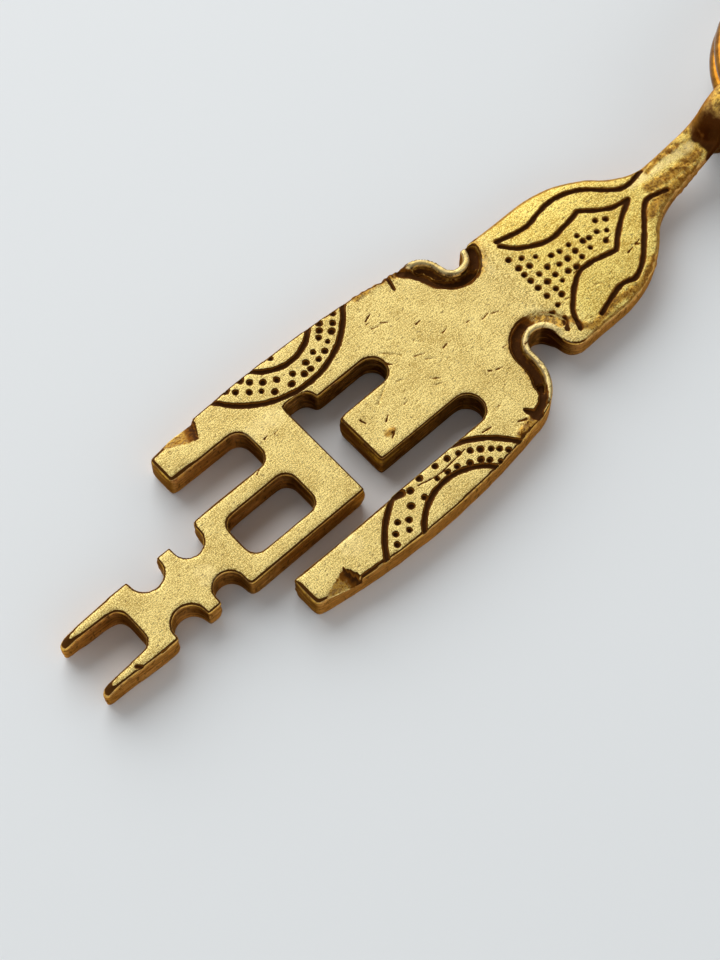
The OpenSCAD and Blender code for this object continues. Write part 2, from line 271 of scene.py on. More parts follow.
# %% Rows of dots beside the arcs
arm_dots = np.vstack([
    around(LEFT_OUTER, 7.5, [49, 43, 36, 29, 22, 15, 7, 1, -9, -21]),
    around(LEFT_OUTER, 7.1, [-29, -37, -46, -53]),
    around(LEFT_INNER, 5, [54, 46, 37, 22, 9, -8, -24, -38, -51, -59]),
    around(LEFT_INNER, 3, [-24]),
    around(RIGHT_OUTER, 7.7, [127, 132, 138, 144, 150, 158, 165, 174, 187, 196, 218, 226, 233]),
    around(RIGHT_INNER, 5.62, [127, 135, 143, 152, 163, 172, 183, 203]),
    around(RIGHT_INNER, 6.4, [213, 224, 232]),
])
print("dots on the arms:", len(arm_dots))

# %% Rows of dots on the head, each a y with its x
DOT_RADIUS = 0.255
DOT_SHARES = [0.88, 1, 1.1]
DOT_STRAY = 0.06
HEAD_ROWS = {
    10: [2.6],
    10.8: [-3.4, -2.35, -1.55, -0.75, 0.1, 1.2, 2.45],
    11.75: [-2.8, -1.8, -0.7, 0.3, 1.2, 1.95],
    12.7: [-2.1, -0.7, 0.2, 1.1],
    13.65: [-1.35, -0.25, 0.7],
    14.45: [-1.05, -0.05, 0.9],
    15.5: [-1.05, -0.25, 0.6],
    16.6: [-1.15, -0.5, 0.45],
    17.2: [-0.35],
    18.1: [-0.3, 0.8],
    18.8: [-1.2, 0.15],
    19.6: [-0.65],
}
rng = np.random.default_rng(11)
head_dots = [(across, along) for along, row in HEAD_ROWS.items() for across in row]
dots = np.vstack([arm_dots, head_dots])
dots += rng.uniform(-DOT_STRAY, DOT_STRAY, dots.shape)
dot_sizes = DOT_RADIUS * rng.choice(DOT_SHARES, len(dots))
print("dots in all:", len(dots))

# %% [markdown]
# ## Scratches, hollows and ticks
# Years in a pocket left their own marks beside the engraver's. Each is a stroke too, with a half width
# at either end, a depth and a stain: deep hollows hold dark tarnish, while a fresh scratch stays bright.
# The first few finish the two grooves where they run out over the shoulders. The others are scratches,
# cracks and nicks. Small ticks are too many to place one by one, so a seeded generator scatters them.

# %% Scratches and hollows
LEFT_GROOVE = [(-8.8, 3.3), (-8.1, 3.9), (-7, 4.5), (-5.8, 5.1), (-4.8, 6.3), (-4.6, 7.8)]


def mark_along(halves, deep, stain, *stops):
    """A mark on a smooth line: the line, its half width at either end, its depth and its stain."""
    return curve_through(*stops), halves, deep, stain


wear = [
    mark_along((0.38, 0.4), 0.26, 1, (6.8, 4.6), (7.5, 4.15), (8, 3.5), (8.4, 2.4)),
    mark_along((0.55, 0.1), 0.24, 1, (8.5, 2.6), (7.4, 2.1)),
    mark_along((0.14, 0.05), 0.1, 0.7, (8.1, 1.6), (7.8, 0.9)),
    mark_along((0.4, 0.6), 0.26, 0.9, *LEFT_GROOVE),
    mark_along((0.11, 0.06), 0.06, 0.3, (-4.4, -3.1), (-3, -1.85)),
    mark_along((0.12, 0.06), 0.06, 0.6, (-3.3, -3.4), (-2.9, -3)),
    mark_along((0.12, 0.05), 0.06, 0.25, (-0.95, -6.4), (-2.1, -4.3)),
    mark_along((0.2, 0.1), 0.16, 0.8, (-9.3, 2.2), (-8.7, 2.1), (-7.9, 1.9)),
    mark_along((0.14, 0.08), 0.14, 0.9, (9.25, -17.4), (9.3, -16.4), (9.4, -15.2)),
    mark_along((0.16, 0.08), 0.14, 1, (3, -35.3), (3.5, -34.9)),
    mark_along((0.14, 0.1), 0.12, 0.8, (3.5, -33.1), (3.5, -31.8)),
    mark_along((0.07, 0.07), 0.06, 0.8, (6.5, -8.9), (6.9, -7.1), (6.85, -5.8), (6.7, -3.9)),
    mark_along((0.25, 0.4), 0.35, 0.8, (6.03, -10.9), (6.05, -10.4)),
    mark_along((0.1, 0.06), 0.08, 0.9, (-0.9, -8.4), (-0.4, -8.25)),
    mark_along((0.08, 0.08), 0.06, 0.7, (6.58, -1.84), (6.7, -1)),
]
print("scratches and hollows:", len(wear))

# %% Small ticks, nearly along the key
TICK_AREAS = [
    ((-7.5, -2.5), (7, 6.5), 24),
    ((-2.5, -10), (2.2, -3), 5),
    ((-6, -21), (-1.5, -13), 5),
    ((0, 9.6), (4, 21), 8),
]
TICK_BEARING = 1.5
TICK_SPREAD = 0.5
TICK_LENGTHS = (0.3, 0.9)
TICK_HALVES = (0.1, 0.05)
TICK_DEPTH = 0.05
TICK_STAINS = (0.3, 0.8)

for low, high, count in TICK_AREAS:
    for start in rng.uniform(low, high, (count, 2)):
        bearing = rng.normal(TICK_BEARING, TICK_SPREAD)
        end = start + rng.uniform(*TICK_LENGTHS) * np.array([math.cos(bearing), math.sin(bearing)])
        wear.append(mark_along(TICK_HALVES, TICK_DEPTH, rng.uniform(*TICK_STAINS), start, end))
print("with the ticks:", len(wear))

# %% Every mark in one list
LINE_HALF = 0.23
LINE_DEPTH = 0.24
DOT_DEPTH = 0.28

marks = [(line, (LINE_HALF, LINE_HALF), LINE_DEPTH, 1) for line in head_lines + arm_lines]
marks += [(dots[dot_sizes == size], (size, size), DOT_DEPTH, 1) for size in np.unique(dot_sizes)]
marks += wear
print("marks:", len(marks), "of which wear:", len(wear))

# %% [markdown]
# ## Finer quads under the marks
# A mark is only as crisp as the quads it is pressed into. The faces near a stroke or a dot are split
# once, which halves their size there and leaves the rest of the face as it is.

# %% Split the faces near the marks
FINE_MARGIN = 0.22
FACE_UP = 0.5
GAP_REACH = 1
BATCH = 5000


def normals_of(mesh):
    """The mesh's vertex normals as rows of x, y, z."""
    flat = np.empty(len(mesh.vertices) * 3, np.float32)
    mesh.vertex_normals.foreach_get("vector", flat)
    return flat.reshape(-1, 3).astype(float)


def gap_to(plan, line):
    """Distance in plan from each point to a line, and how far along the line that is, from 0 to 1."""
    gap = np.full(len(plan), np.inf)
    along = np.zeros(len(plan))
    in_reach = (plan > line.min(0) - GAP_REACH) & (plan < line.max(0) + GAP_REACH)
    near = np.flatnonzero(np.all(in_reach, axis=1))
    for part in np.array_split(near, len(near) // BATCH + 1):
        away = np.sum((plan[part, None] - line[None]) ** 2, axis=2)
        gap[part] = np.sqrt(away.min(axis=1))
        along[part] = away.argmin(axis=1) / max(len(line) - 1, 1)
    return gap, along


def split_near(piece, chosen):
    """Halves the edges that join two chosen points."""
    shell = bmesh.new()
    shell.from_mesh(piece.data)
    shell.verts.ensure_lookup_table()
    chosen = {shell.verts[i] for i in np.flatnonzero(chosen)}
    edges = [edge for edge in shell.edges if edge.verts[0] in chosen and edge.verts[1] in chosen]
    bmesh.ops.subdivide_edges(shell, edges=edges, cuts=1, use_grid_fill=True)
    bmesh.ops.triangulate(shell, faces=[face for face in shell.faces if len(face.verts) > 4])
    shell.to_mesh(piece.data)
    shell.free()
    return len(edges)


skin_plan = points_of(fob.data)[:, :2]
marked = np.zeros(len(skin_plan), bool)
for line, halves, *_ in marks:
    marked |= gap_to(skin_plan, line)[0] < max(halves) + FINE_MARGIN
marked &= normals_of(fob.data)[:, 2] > FACE_UP
split = split_near(fob, marked)
print("split", split, "edges; the fob has", len(fob.data.polygons), "faces")

# %% [markdown]
# ## Pressing the marks in
# Each mark lowers the face below it, deepest along its middle, and keeps a stain for the shader.
# A slow wave along the strokes keeps their width from being too even for a hand tool.
# Points on the walls are only ever lowered to the floor of a mark that runs out over the edge, so no
# sliver is left standing there. Cutting with a solid for each stroke would leave sharp edges instead,
# which a worn piece doesn't have.

# %% Lower the face along the marks
PLATE_T = 3
BODY_TOP_Y = 7
SWAY = 0.12
SHAKE = 0.2
STAIN_REACH = 1.3


def pressed(gap, half, deep):
    """Depth of a round-bottomed mark at a distance from its middle."""
    return deep * np.sqrt(np.clip(1 - (gap / half) ** 2, 0, 1))


def wave(points, scale):
    """Smooth noise about 0 at each point."""
    return np.array([noise.noise(Vector(point)) for point in points * scale])


points = points_of(fob.data)
up = normals_of(fob.data)[:, 2]
plan = points[:, :2]  # a view into the points, so it follows them as they move
sway = SWAY * np.sin(plan @ (2.6, 1.1)) * np.sin(plan @ (-0.9, 2.2))
hand = 1 + sway + SHAKE * wave(points, 2.6)
depth = np.zeros(len(points))
cut = np.zeros(len(points))
for line, halves, deep, stain in marks:
    gap, along = gap_to(plan, line)
    half = np.interp(along, [0, 1], halves) * hand
    near = gap < STAIN_REACH * half
    depth[near] = np.maximum(depth[near], pressed(gap[near], half[near], deep))
    cut[near] = np.maximum(cut[near], stain * np.clip(STAIN_REACH - gap[near] / half[near], 0, 1))
face = rise(up - 0.3, 0.4)
cut *= face
points[:, 2] -= depth * face
body_wall = (plan[:, 1] < BODY_TOP_Y) & (face < 1)
floor_z = np.where(body_wall, PLATE_T - depth, np.inf)
points[:, 2] = np.minimum(points[:, 2], floor_z)
print("pressed the marks in, to", round(depth.max(), 2), "mm")

# %% [markdown]
# ## Breaks at the tips of the arms
# Both arms have lost a flake at the tip. A flake breaks off along a slanted plane that starts at a line
# on the face and ends in a small step, so every point above that plane is brought down onto it.
# The table gives the line's start and end, the fall of the plane for each millimetre, and the end of
# the line, 0 or 1, where tarnish gathers in the step.

# %% Break the flakes off
BREAKS = [
    ((-8.4, -19.2), (-9.9, -22.6), 0.5, 0),
    ((8.9, -21.7), (7.7, -18.1), 0.62, 1),
    ((9.35, -17.3), (9.4, -15.1), 0.9, 1),
]
BREAK_LOWEST_Z = 0.3
STEP_STAIN = 0.75
STEP_FADE = 2

chip = np.zeros(len(points))
for start, end, slope, step_end in BREAKS:
    away = plan - start
    line = np.subtract(end, start)
    length = np.hypot(*line)
    along = away @ line / length**2
    beyond = away @ (line[1], -line[0]) / length
    plane_z = PLATE_T - slope * beyond
    broken = (along > 0) & (along < 1) & (beyond > 0) & (points[:, 2] > plane_z)
    points[broken, 2] = np.maximum(plane_z[broken], BREAK_LOWEST_Z)
    chip[broken] = 1
    step = np.clip(STEP_STAIN - STEP_FADE * np.abs(along - step_end), 0, 1)
    cut[broken] = np.maximum(cut[broken], step[broken])
print("points on broken flakes:", int(chip.sum()))

# %% [markdown]
# ## Rough places and ridged walls
# The stem, parts of the edges and the places beside the grooves kept the grain of the mould. Noise moves
# their points in and out along the normals, as real relief that catches the light from any side.
# Where the right groove ends under the head it is shallow, so its floor comes back up to the face there.
# The walls of the slots carry long ridges, from noise that is drawn out along the wall.

# %% Rough places
ROUGH_SPOTS = [
    (curve_through((1.5, 22.8), (1, 24.1), (0.85, 26.1), (1.1, 28.6)), 0.8),
    (curve_through((-9.6, -1), (-9.4, 1.5), (-8.6, 3.9)), 0.7),
    (curve_through((8.6, 1.9), (8.9, 0.4)), 0.8),
    (curve_through((4, 10.6), (5.7, 11.6), (5.4, 14.5), (5.6, 17.5), (4.6, 20)), 0.55),
    (curve_through((-1.75, 25.6), (-1.95, 27.2), (-1.6, 29)), 0.45),
    (curve_through((-0.6, 24.6), (-0.1, 27), (0.2, 29.6)), 0.85),
    (curve_through((1.5, -7.6), (1.5, -7)), 0.5),
]
ROUGH_ABOVE_Z = 1.5
ROUGH_STAIN = 0.24

rough = np.zeros(len(points))
for line, reach in ROUGH_SPOTS:
    rough = np.maximum(rough, np.clip(1.4 * (1 - gap_to(plan, line)[0] / reach), 0, 1))
rough *= points[:, 2] > ROUGH_ABOVE_Z
cut = np.maximum(cut, ROUGH_STAIN * np.maximum(rough, chip) * face)
print("rough points:", int((rough > 0.3).sum()))

# %% Raise the floor where the right groove ends
GROOVE_END_X = (0.8, 4.9)
GROOVE_END_Y = (7.4, 11)
GROOVE_END_Z = (2.2, 2.95)
GROOVE_END_FLOOR_Z = PLATE_T - 0.06
GROOVE_END_LIFT = 0.8


def inside(value, limits):
    """True between two limits."""
    return (value > limits[0]) & (value < limits[1])


run_out = rise(plan[:, 1] - GROOVE_END_Y[0], 1.4) * (plan[:, 1] < GROOVE_END_Y[1])
run_out *= inside(plan[:, 0], GROOVE_END_X)
shallow = run_out * (up > 0.2) * inside(points[:, 2], GROOVE_END_Z)
points[:, 2] += GROOVE_END_LIFT * shallow * (GROOVE_END_FLOOR_Z - points[:, 2])
print("points on the groove's shallow end:", int((shallow > 0).sum()))

# %% Uneven walls
WALL_WAVE = 0.018
WALL_WAVES_PER_MM = 0.6
ROUGH_WAVE = 0.17
ROUGH_WAVES_PER_MM = 2.2
RIDGE = 0.11
RIDGE_STRETCH = np.array([0.14, 0.14, 1.5])
RIDGE_FOOT_Z = 0.3
SLOTS_HALF = 7
SLOTS_TOP_Y = 2

lean = WALL_WAVE * wave(points, WALL_WAVES_PER_MM) * (1 - face)
lean += ROUGH_WAVE * wave(points, ROUGH_WAVES_PER_MM) * rough
inner = rise(SLOTS_HALF - np.abs(plan[:, 0]), 0.6) * (plan[:, 1] < SLOTS_TOP_Y)
lean += RIDGE * wave(points, RIDGE_STRETCH) * (1 - face) * inner * (points[:, 2] > RIDGE_FOOT_Z)
points += lean[:, None] * normals_of(fob.data)
box_low, box_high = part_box("fob_casting")
points = np.clip(points, np.array(box_low) * MM, np.array(box_high) * MM)
move_points(fob.data, points)
print("moved points along their normals by up to", round(np.abs(lean).max(), 2), "mm")

# %% [markdown]
# ## What the shader needs to know
# Brass darkens in the air and stays bright where it is handled. The mesh carries that as point
# attributes: how deep a point lies in a mark and how upright the wall is. It also carries painted shade:
# short rays cast out of each wall point tell how closed in the place is, and the more of them strike
# brass, the darker the corner, as painted shade together with the tarnish that gathers there. Other
# masks mark the grooves with the brown beside them; the rubbed places, the lips and the stem's flat that
# are painted pale, as wear on the rubbed places, as painted highlight on the flat and as both on the lips;
# the dark rim round the face, a painted shade line; the walls facing the fork's end, which get painted
# shade; and the neck and slots that no finger reaches, which get painted shade together with their tarnish.

# %% Rays from the walls
RAY_COUNT = 24
RAY_REACH = 5
RAY_START = 0.03
RAY_OUTWARD = 0.1
WALL_UP = 0.8
BACK_Z = 0.05


def ray_fan(count):
    """Directions spread evenly over a sphere."""
    k = np.arange(count) + 0.5
    z = 1 - 2 * k / count
    turn = math.pi * (1 + math.sqrt(5)) * k
    flat = np.sqrt(1 - z**2)
    return np.column_stack([flat * np.cos(turn), flat * np.sin(turn), z])


def closed_in(mesh, chosen):
    """Share of the rays leaving each chosen point that strike the mesh nearby."""
    tree = BVHTree.FromPolygons([v.co for v in mesh.vertices], [p.vertices for p in mesh.polygons])
    fan = [Vector(ray) for ray in ray_fan(RAY_COUNT)]
    share = np.zeros(len(mesh.vertices))
    for i in chosen:
        normal = mesh.vertices[i].normal
        start = mesh.vertices[i].co + normal * RAY_START
        rays = [ray for ray in fan if ray.dot(normal) > RAY_OUTWARD]
        hits = [tree.ray_cast(start, ray, RAY_REACH)[0] for ray in rays]
        share[i] = sum(hit is not None for hit in hits) / len(rays)
    return share


normals = normals_of(fob.data)
up = normals[:, 2]
height = points[:, 2]
wall_points = np.flatnonzero((up < WALL_UP) & (height > BACK_Z))
# The share of rays that strike brass is painted shade in closed-in corners, together with the tarnish that
# gathers there.
hollow = closed_in(fob.data, wall_points.tolist())
print("rays from", len(wall_points), "wall points; most closed in:", round(float(hollow.max()), 2))

# %% Grooves and the brown beside them
GROOVE_Y = (3.2, 10.8)
GROOVE_RIGHT_X = 1
GROOVE_LEFT_X = -3.4
GROOVE_FLOOR_Z = 1.9
BROWN_LEFT = 1.5
BROWN_RIGHT = 0.9
NECK_Y = 29.8

x, y = plan.T
beside = inside(y, GROOVE_Y) & ((x > GROOVE_RIGHT_X) | (x < GROOVE_LEFT_X))
sunk = rise(PLATE_T - 0.1 - height, 0.3) * beside * (up > 0.3) * (height > GROOVE_FLOOR_Z) * (cut < 0.1)
groove_plan = plan[sunk > 0.9][::5]
warm = np.clip(1 - gap_to(plan, groove_plan)[0] / np.where(x < 0, BROWN_LEFT, BROWN_RIGHT), 0, 1)
# Painted shade: the head's border turns browner where its surface curves down.
head_border_shade = 0.6 * rise(0.985 - up, 0.06) * (y > HEAD_FOOT_Y + 1) * (height > 2)
warm = np.max([warm, rough, 0.9 * chip, head_border_shade, 0.85 * shallow], axis=0) * face
warm = np.maximum(warm, 0.8 * rise(y - NECK_Y, 0.5))
print("groove points:", int((sunk > 0.9).sum()))

# %% Lips, rubbed places and the stem's flat: pale wear and painted highlights
LIP_TOP_Y = 9.3
RUBBED = [((-5.9, -15.2), 1.1), ((-5.8, -13.4), 1), ((0.8, -26.5), 1), ((6.7, -16.3), 1.1)]
FLAT = curve_through((-1.75, 23.6), (-1.5, 26), (-1.2, 28), (-0.75, 29.6))
FLAT_HALF = 0.35

lip = rise(height - PLATE_T - 0.04, 0.1) * beside * (y < LIP_TOP_Y)
# The lips' tops are painted pale, partly as rubbed wear and partly as painted highlight.
shine = 0.65 * lip * rise(up - 0.5, 0.3)
for spot, reach in RUBBED:
    rubbed = np.clip(2 - 2 * np.hypot(*(plan - spot).T) / reach, 0, 0.35)
    shine = np.maximum(shine, rubbed * (up > 0.9))
# The stem's flat is painted pale as a painted highlight.
flat = np.clip(1.6 - gap_to(plan, FLAT)[0] / FLAT_HALF, 0, 1)
shine = np.maximum(shine, 0.7 * flat * (cut < 0.2))
print("lip points:", int((lip > 0.5).sum()))

# %% Rim, tips, neck, notch and slots: masks for painted shade and glints
RIM_Z = 1.6
NOTCH = (3.9, 8.7)
NOTCH_REACH = 1.5
EYE_TOP_Z = 8
SLOT_STOPS_Y = [-25, -24, -11, -10.5, 1, 1.5]
SLOT_TARNISH_AND_SHADE = [0, 0.36, 0.36, 0.52, 0.52, 0]
SLOT_HALF = 6.2
STEEP_UP = 0.6

head = rise(y - HEAD_FOOT_Y, HEAD_BLEND)
# The rim mask places the painted shade line and the painted glint along the edge of the face.
rim = np.interp(y, [HEAD_FOOT_Y, HEAD_FOOT_Y + 1, NECK_Y - 1, NECK_Y], [1, 0.3, 0.3, 0])
rim *= rise(height - RIM_Z, 0.3) * (1 - chip) * (1 - run_out)
tip = rise(PRONG_BEND_Y - y, 0.6)
# Painted shade over the neck below the eye, darker on its +x side, away from the window lamp.
ragged = y - NECK_Y + 0.9 * wave(points, 1.4)
neck_shade = rise(ragged, 0.6) * rise(EYE_TOP_Z - height, 1.2) * np.clip(1.4 + 0.6 * x, 0.4, 1)
# Painted shade together with tarnish in the notch at the right shoulder.
notch_tarnish_and_shade = np.clip(NOTCH_REACH - np.hypot(*(plan - NOTCH).T), 0, 1) * (up < STEEP_UP)
# Painted shade together with tarnish on the slot walls.
slot_tarnish_and_shade = np.interp(y, SLOT_STOPS_Y, SLOT_TARNISH_AND_SHADE) * (np.abs(x) < SLOT_HALF) * (up < STEEP_UP)
print("slot points:", int((slot_tarnish_and_shade > 0).sum()), "and neck points:", int((neck_shade > 0).sum()))

# %% Store the masks on the mesh
masks = {
    "cut": np.maximum(cut, 0.66 * sunk),
    "wall": rise(WALL_UP - up, 0.4),
    "upright": rise(0.4 - np.abs(up), 0.2),
    "hollow": np.max([hollow, 0.8 * neck_shade, 0.9 * notch_tarnish_and_shade, slot_tarnish_and_shade], axis=0),
    # Painted shade on walls that face the fork's end.
    "front": np.clip(-normals[:, 1] - 0.2, 0, 1) * (1 - 0.7 * tip),
    "warm": warm,
    "shine": shine,
    "rim": rim,
    "head": head,
}
for name, values in masks.items():
    layer = fob.data.attributes.new(name, "FLOAT", "POINT")
    layer.data.foreach_set("value", np.ascontiguousarray(values, np.float32))
print("stored", list(masks))

# %% Back to metres, and onto the frame
fob.data.transform(Matrix.Scale(1 / MM, 4))
for polygon in fob.data.polygons:
    polygon.use_smooth = True
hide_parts("fob_casting")
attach(fob, "fob")
print("the fob has", sum(len(p.vertices) - 2 for p in fob.data.polygons), "triangles")

# %% [markdown]
# ## Shader maths as Python
# A brass finish mixes a dozen noises and masks, which is hard to read as a web of nodes.
# This small class wraps a socket, so that sums and products of masks are written as Python and add
# their own Math nodes. Every other node comes from one method of the material it belongs to.

# %% A socket that can be reckoned with
class Value:
    """A node's output. Operators on it add Math nodes to its material."""

    def __init__(self, finish, socket):
        self.finish = finish
        self.socket = socket

    def math(self, operation, first, second):
        return self.finish.node("Math", {"operation": operation}, {0: first, 1: second})

    def __add__(self, other):
        return self.math("ADD", self, other)

    def __sub__(self, other):
        return self.math("SUBTRACT", self, other)

    def __rsub__(self, other):
        return self.math("SUBTRACT", other, self)

    def __mul__(self, other):
        return self.math("MULTIPLY", self, other)

    __radd__ = __add__
    __rmul__ = __mul__


class Finish:
    """The nodes of a material or a world, with its one shader."""

    def __init__(self, owner, shader="Principled BSDF"):
        owner.use_nodes = True
        self.owner = owner
        self.tree = owner.node_tree
        self.shader = self.tree.nodes[shader]

    def node(self, kind, settings=None, sockets=None, out=0):
        """Adds a node, sets it up, fills its sockets and gives back one of its outputs."""
        made = self.tree.nodes.new("ShaderNode" + kind)
        for key, setting in (settings or {}).items():
            if key == "stops":
                self.set_stops(made.color_ramp, setting)
            else:
                setattr(made, key, setting)
        self.fill(made, sockets or {})
        return Value(self, made.outputs[out])

    def fill(self, made, sockets):
        """Links or sets a node's sockets."""
        for key, given in sockets.items():
            if isinstance(given, Value):
                self.tree.links.new(given.socket, made.inputs[key])
            else:
                made.inputs[key].default_value = given

    def set_stops(self, ramp, stops):
        """Gives a ramp its stops, each a place and a colour."""
        while len(ramp.elements) < len(stops):
            ramp.elements.new(1)
        for element, (place, colour) in zip(ramp.elements, stops):
            element.position = place
            element.color = colour


def srgb(red, green, blue):
    """A colour as a screen shows it, 0 to 255, as the shader's linear numbers."""
    linear = [((c / 255 + 0.055) / 1.055) ** 2.4 if c > 10 else c / 255 / 12.92 for c in (red, green, blue)]
    return (*linear, 1)


print("shader class ready; mid brass is", [round(c, 3) for c in srgb(221, 195, 118)])

# %% [markdown]
# ## Worn cast brass
# The face is pale, satin brass with a fine sandy grain; the walls were never rubbed and stay a golden
# brown, and the marks hold dark tarnish. The slots, the neck and closed-in corners hold tarnish and get
# painted shade as well, and the walls facing the fork's end get painted shade too. One metal with several
# such masks shows that better than separate materials would, because on the real fob the changes are
# gradual.
# The dark rim round the face is painted shade and the glint below it is a painted highlight; both come
# from the tilt of the surface at each point, which is finer than the mesh's own masks.

# %% Coordinates, noises and masks of the brass
brass = Finish(bpy.data.materials.new("worn cast brass"))
place = brass.node("TexCoord", out="Object")
place = brass.node("VectorMath", {"operation": "SCALE"}, {0: place, "Scale": MM})


def stretched(across, along, upward):
    """Places scaled by a share of its own in each direction, for noise that runs one way."""
    return brass.node("VectorMath", {"operation": "MULTIPLY"}, {0: place, 1: (across, along, upward)})


def grain(scale, detail=2, roughness=0.55, where=place):
    """Noise with this many grains to a millimetre."""
    sockets = {"Vector": where, "Scale": scale, "Detail": detail, "Roughness": roughness}
    return brass.node("TexNoise", {"noise_dimensions": "3D"}, sockets)


def between(value, low, high):
    """0 below the low mark, 1 above the high one and a smooth step between them."""
    sockets = {"Value": value, "From Min": low, "From Max": high}
    return brass.node("MapRange", {"interpolation_type": "SMOOTHSTEP"}, sockets)


def mask(name):
    """A number that the mesh carries for each point."""
    return brass.node("Attribute", {"attribute_name": name}, out="Fac")


cut_mask, wall_mask, recess_tarnish_and_shade_mask, front_wall_shade_mask = map(mask, ["cut", "wall", "hollow", "front"])
warm_mask, rubbed_and_highlight_mask, rim_shade_and_glint_mask = map(mask, ["warm", "shine", "rim"])
upright_mask, head_mask = map(mask, ["upright", "head"])
tilt = brass.node("TexCoord", out="Normal")
tilt = brass.node("SeparateXYZ", sockets={0: tilt}, out="Z")
sand = grain(10, 2, 0.65)
scuff = grain(1, 2, 0.5, stretched(12, 0.9, 1))
cloud = grain(0.35, 3)
patch = grain(1.6, 3, 0.6)
crumb = grain(3, 2)
streak = grain(1.1, 2, 0.6, stretched(0.3, 0.3, 4.5))
flecks = between(grain(1, 2, 0.5, stretched(8, 2.2, 1)), 0.62, 0.66)
pits = between(grain(5, 2), 0.66, 0.72)
print("noises and masks:", len(brass.tree.nodes), "nodes")

# %% Colours of the brass, layer by layer
FACE_DARK = srgb(184, 154, 80)
FACE_PALE = srgb(255, 236, 160)
HEAD_DARK = srgb(190, 153, 62)
HEAD_PALE = srgb(255, 237, 144)
CRUMB_AND_RIM_SHADE_BROWN = srgb(124, 73, 15)
CRUMB_AND_GLINT_GOLD = srgb(238, 190, 80)
RIM_SHADE_AND_PIT_DARK = srgb(76, 44, 12)
WALL_GOLD_AND_GLINT = srgb(236, 176, 104)
WALL_BROWN = srgb(146, 96, 52)
TARNISH_AND_SHADE_DARK = srgb(66, 33, 8)
RUBBED_AND_HIGHLIGHT_PALE = srgb(255, 234, 168)


def blended(share, first, second):
    """Two colours mixed by a share."""
    sockets = {"Factor": share, "A": first, "B": second}
    return brass.node("Mix", {"data_type": "RGBA"}, sockets, out="Result")


dark_grain = blended(head_mask, FACE_DARK, HEAD_DARK)
pale_grain = blended(head_mask, FACE_PALE, HEAD_PALE)
colour = blended(between(sand * 0.68 + scuff * 0.2 + cloud * 0.12, 0.44, 0.56), dark_grain, pale_grain)
crumbs = blended(between(crumb, 0.4, 0.6), CRUMB_AND_RIM_SHADE_BROWN, CRUMB_AND_GLINT_GOLD)
colour = blended(between(warm_mask + (patch - 0.5) * 0.9, 0.25, 0.95) * 0.85, colour, crumbs)
layers = crumb * 0.3 + patch * 0.7 + (streak - patch) * upright_mask * 0.5
wall_colour = blended(between(layers, 0.32, 0.68), WALL_BROWN, WALL_GOLD_AND_GLINT)
colour = blended(wall_mask, colour, wall_colour)
# Painted shade: a dark line where the face turns down into a wall.
painted_rim_shade = between(tilt, 0.96, 0.9) * between(tilt, 0.55, 0.7) * rim_shade_and_glint_mask
colour = blended(between(painted_rim_shade, 0, 0.5), colour, CRUMB_AND_RIM_SHADE_BROWN)
colour = blended(between(painted_rim_shade, 0.25, 0.9), colour, RIM_SHADE_AND_PIT_DARK)
print("face, walls and rim:", len(brass.tree.nodes), "nodes")

# %% Tarnish, painted shade and painted highlights on top
# Painted shade: walls facing the fork's end are darkened, less at the fork's tips.
colour = blended(between(front_wall_shade_mask + (patch - 0.5) * 0.4, 0.15, 0.9) * 0.8, colour, TARNISH_AND_SHADE_DARK)
# Painted shade with tarnish: closed-in corners, the slots, the notch and the neck are darkened.
colour = blended(between(recess_tarnish_and_shade_mask + (patch - 0.5) * 0.6, 0.18, 0.72), colour, TARNISH_AND_SHADE_DARK)
# Painted highlights: thin gold lines along the ridges of the walls.
ridge_glints = between(streak, 0.56, 0.66) * upright_mask * (1 - head_mask)
colour = blended(ridge_glints * 0.45, colour, WALL_GOLD_AND_GLINT)
# Painted highlight: a gold glint just below the dark rim.
glint = between(tilt, 0.6, 0.5) * between(tilt, 0.15, 0.3) * rim_shade_and_glint_mask
colour = blended(glint * between(patch, 0.35, 0.6) * 0.7, colour, CRUMB_AND_GLINT_GOLD)
# Pale rubbed wear, and painted highlights on the lips and the stem's flat.
colour = blended(rubbed_and_highlight_mask * between(patch, 0.2, 0.55) * 0.8, colour, RUBBED_AND_HIGHLIGHT_PALE)
ragged_cut = cut_mask + (crumb - 0.5) * 0.6
colour = blended(between(ragged_cut, 0.18, 0.38), colour, CRUMB_AND_RIM_SHADE_BROWN)
colour = blended(between(ragged_cut, 0.36, 0.66), colour, TARNISH_AND_SHADE_DARK)
colour = blended(pits * 0.5 + flecks * 0.6, colour, RIM_SHADE_AND_PIT_DARK)
print("all colour layers:", len(brass.tree.nodes), "nodes")

# %% Gloss and grain of the brass
BUMP_STRENGTH = 0.3
BUMP_DISTANCE = 0.00008
BRASS_TINT = srgb(225, 188, 128)

gloss = 0.62 + (sand - 0.5) * 0.25 + cut_mask * 0.2 - wall_mask * 0.24 - rubbed_and_highlight_mask * 0.08
relief = sand * 0.5 + cloud * 0.4 - pits * 0.6 - flecks * 0.5
relief = relief + crumb * warm_mask * 1.5 + streak * upright_mask * 0.5
bump_sockets = {"Strength": BUMP_STRENGTH, "Distance": BUMP_DISTANCE, "Height": relief}
brass.fill(brass.shader, {
    "Base Color": colour,
    "Metallic": 0.76 + wall_mask * 0.2 - cut_mask * 0.3,
    "Roughness": gloss,
    "Specular Tint": BRASS_TINT,
    "Normal": brass.node("Bump", sockets=bump_sockets),
})
fob.data.materials.append(brass.owner)
print("worn brass:", len(brass.tree.nodes), "nodes")

# %% [markdown]
# ## The polished ring
# The split ring is drawn brass wire, smooth and bright. The frame's own solid has the right shape, so it
# only needs smooth shading and a finish with faint scuffs.

# %% Finish the split ring
RING_DARK = srgb(120, 72, 13)
RING_PALE = srgb(166, 113, 34)

